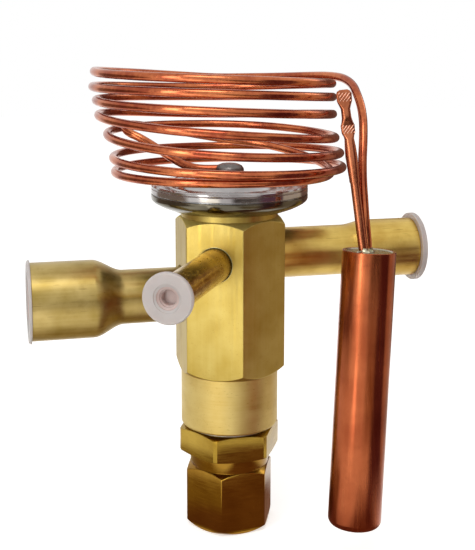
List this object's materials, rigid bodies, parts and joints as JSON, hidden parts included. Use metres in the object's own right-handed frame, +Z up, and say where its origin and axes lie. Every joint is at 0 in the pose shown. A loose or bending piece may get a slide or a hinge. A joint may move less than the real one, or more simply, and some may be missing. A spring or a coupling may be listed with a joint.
{
  "type": "fixed orifice expansion valve",
  "caption": "Brass thermostatic expansion valve with fixed orifice, solder tube ends with plugs, diaphragm head, coiled copper capillary and sensing bulb.",
  "frame": {"origin": "centre of the seal cap's flat end, on which the valve stands", "axes": "+Z up along the valve's axis to the diaphragm head, +X out along the inlet tube, -X out along the outlet tube"},
  "size_m": [0.1024, 0.0765, 0.1192],
  "materials": {
    "body_brass": "fine turned and milled brass, satin",
    "tube_brass": "drawn brass tube, slightly oxidised",
    "nut_brass": "bright turned brass",
    "inner_brass": "turned brass",
    "head_steel": "bright pressed stainless steel",
    "boss_steel": "dark heat-tinted steel",
    "spring_steel": "hard stainless steel",
    "gasket_metal": "soft metal ring",
    "bulb_copper": "drawn copper, lightly oxidised",
    "capillary_copper": "drawn copper tube, satin",
    "plug_plastic": "milky polyethylene",
    "seal_rubber": "black rubber"
  },
  "bodies": {
    "valve": {"valve_body": "body_brass", "inlet_tube": "tube_brass", "outlet_tube": "tube_brass", "equalizer_tube": "tube_brass", "head_cup": "head_steel", "head_cover": "head_steel", "diaphragm": "spring_steel", "head_boss": "boss_steel", "rod_seal": "seal_rubber", "seal_retainer": "inner_brass", "orifice_seat": "spring_steel", "superheat_spring": "spring_steel", "bonnet_nut": "nut_brass", "bonnet_gasket": "gasket_metal", "sensing_bulb": "bulb_copper", "bulb_end": "bulb_copper", "capillary_tube": "capillary_copper", "charging_tube": "capillary_copper", "charging_stub": "capillary_copper"},
    "pin_group": {"pressure_pad": "inner_brass", "push_rod": "spring_steel", "valve_pin": "spring_steel", "pin_carrier": "inner_brass"},
    "stem": {"adjusting_stem": "inner_brass", "stem_ring": "seal_rubber"},
    "spring_nut": {"spring_seat": "inner_brass"},
    "cap_ring": {"cap_gasket": "gasket_metal"},
    "cap": {"seal_cap": "nut_brass"},
    "plug_inlet": {"inlet_plug": "plug_plastic"},
    "plug_outlet": {"outlet_plug": "plug_plastic"},
    "plug_equalizer": {"equalizer_plug": "plug_plastic"}
  },
  "joints": [
    {"name": "pin_lift", "type": "slide", "parent": "valve", "child": "pin_group", "axis": [0, 0, -1], "range_m": [0, 0.0007], "stiffness_N_per_m": 8000, "springref_m": -0.0001, "deforming": ["superheat_spring"]},
    {"name": "stem_turn", "type": "hinge", "parent": "valve", "child": "stem", "pos_m": [0, 0, 0.02], "axis": [0, 0, 1], "range_deg": [-720, 720]},
    {"name": "spring_nut_travel", "type": "slide", "parent": "valve", "child": "spring_nut", "axis": [0, 0, 1], "range_m": [-0.0016, 0.0016], "deforming": ["superheat_spring"]},
    {"name": "cap_travel", "type": "slide", "parent": "valve", "child": "cap_ring", "axis": [0, 0, -1], "range_m": [0, 0.00825]},
    {"name": "cap_turn", "type": "hinge", "parent": "cap_ring", "child": "cap", "pos_m": [0, 0, 0.009], "axis": [0, 0, -1], "range_deg": [0, 1980]},
    {"name": "inlet_plug_pull", "type": "slide", "parent": "valve", "child": "plug_inlet", "axis": [1, 0, 0], "range_m": [0, 0.012]},
    {"name": "outlet_plug_pull", "type": "slide", "parent": "valve", "child": "plug_outlet", "axis": [-1, 0, 0], "range_m": [0, 0.013]},
    {"name": "equalizer_plug_pull", "type": "slide", "parent": "valve", "child": "plug_equalizer", "axis": [-0.5, -0.866, 0], "range_m": [0, 0.01]}
  ],
  "couplings": [
    {"joint": "stem_turn", "follows": "spring_nut_travel", "rad_per_m": 7853.9},
    {"joint": "cap_turn", "follows": "cap_travel", "rad_per_m": 4188.7}
  ]
}
